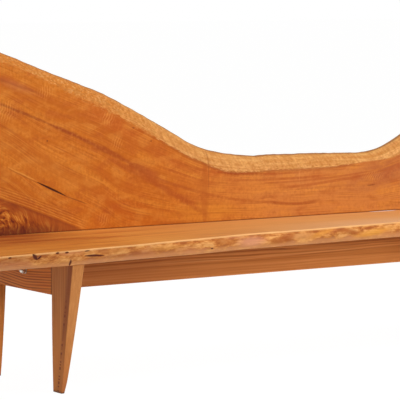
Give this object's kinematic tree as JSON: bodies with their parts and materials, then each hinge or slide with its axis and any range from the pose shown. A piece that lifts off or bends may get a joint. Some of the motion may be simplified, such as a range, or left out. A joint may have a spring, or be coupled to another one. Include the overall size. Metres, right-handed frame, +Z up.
{
  "type": "bench with back",
  "caption": "Plank bench with a tall wavy-topped back, live front and top edges, and tapered legs joined by side rails and a long centre beam.",
  "frame": {"origin": "on the floor, below the middle of the bench's bounding box", "axes": "+X along the bench towards its right end as seen from the front, +Y from the front edge towards the back, +Z up"},
  "size_m": [2.44, 0.678, 1.0923],
  "materials": {
    "seat_wood": "oiled orange-brown softwood, satin, with a lighter live edge",
    "back_wood": "oiled orange-brown softwood, satin, with a pale waney band and dark figure",
    "leg_wood": "oiled fir, satin",
    "rail_wood": "oiled fir, satin",
    "beam_wood": "oiled fir, satin",
    "dowel_wood": "plain hardwood",
    "cap_steel": "bright nickel plated",
    "zinc_steel": "zinc plated",
    "insert_brass": "plain brass"
  },
  "bodies": {
    "root": {"seat_slab": "seat_wood", "back_slab": "back_wood", "front_left_leg": "leg_wood", "front_right_leg": "leg_wood", "rear_left_leg": "leg_wood", "rear_right_leg": "leg_wood", "left_side_rail": "rail_wood", "right_side_rail": "rail_wood", "centre_beam": "beam_wood", "rail_dowels": "dowel_wood", "beam_dowels": "dowel_wood", "back_dowels": "dowel_wood", "beam_studs": "zinc_steel", "cap_nuts": "cap_steel", "stud_washers": "cap_steel", "barrel_nuts": "zinc_steel", "seat_screws": "zinc_steel", "seat_screw_washers": "zinc_steel", "back_bolts": "zinc_steel", "back_bolt_washers": "zinc_steel", "back_inserts": "insert_brass"}
  },
  "joints": []
}
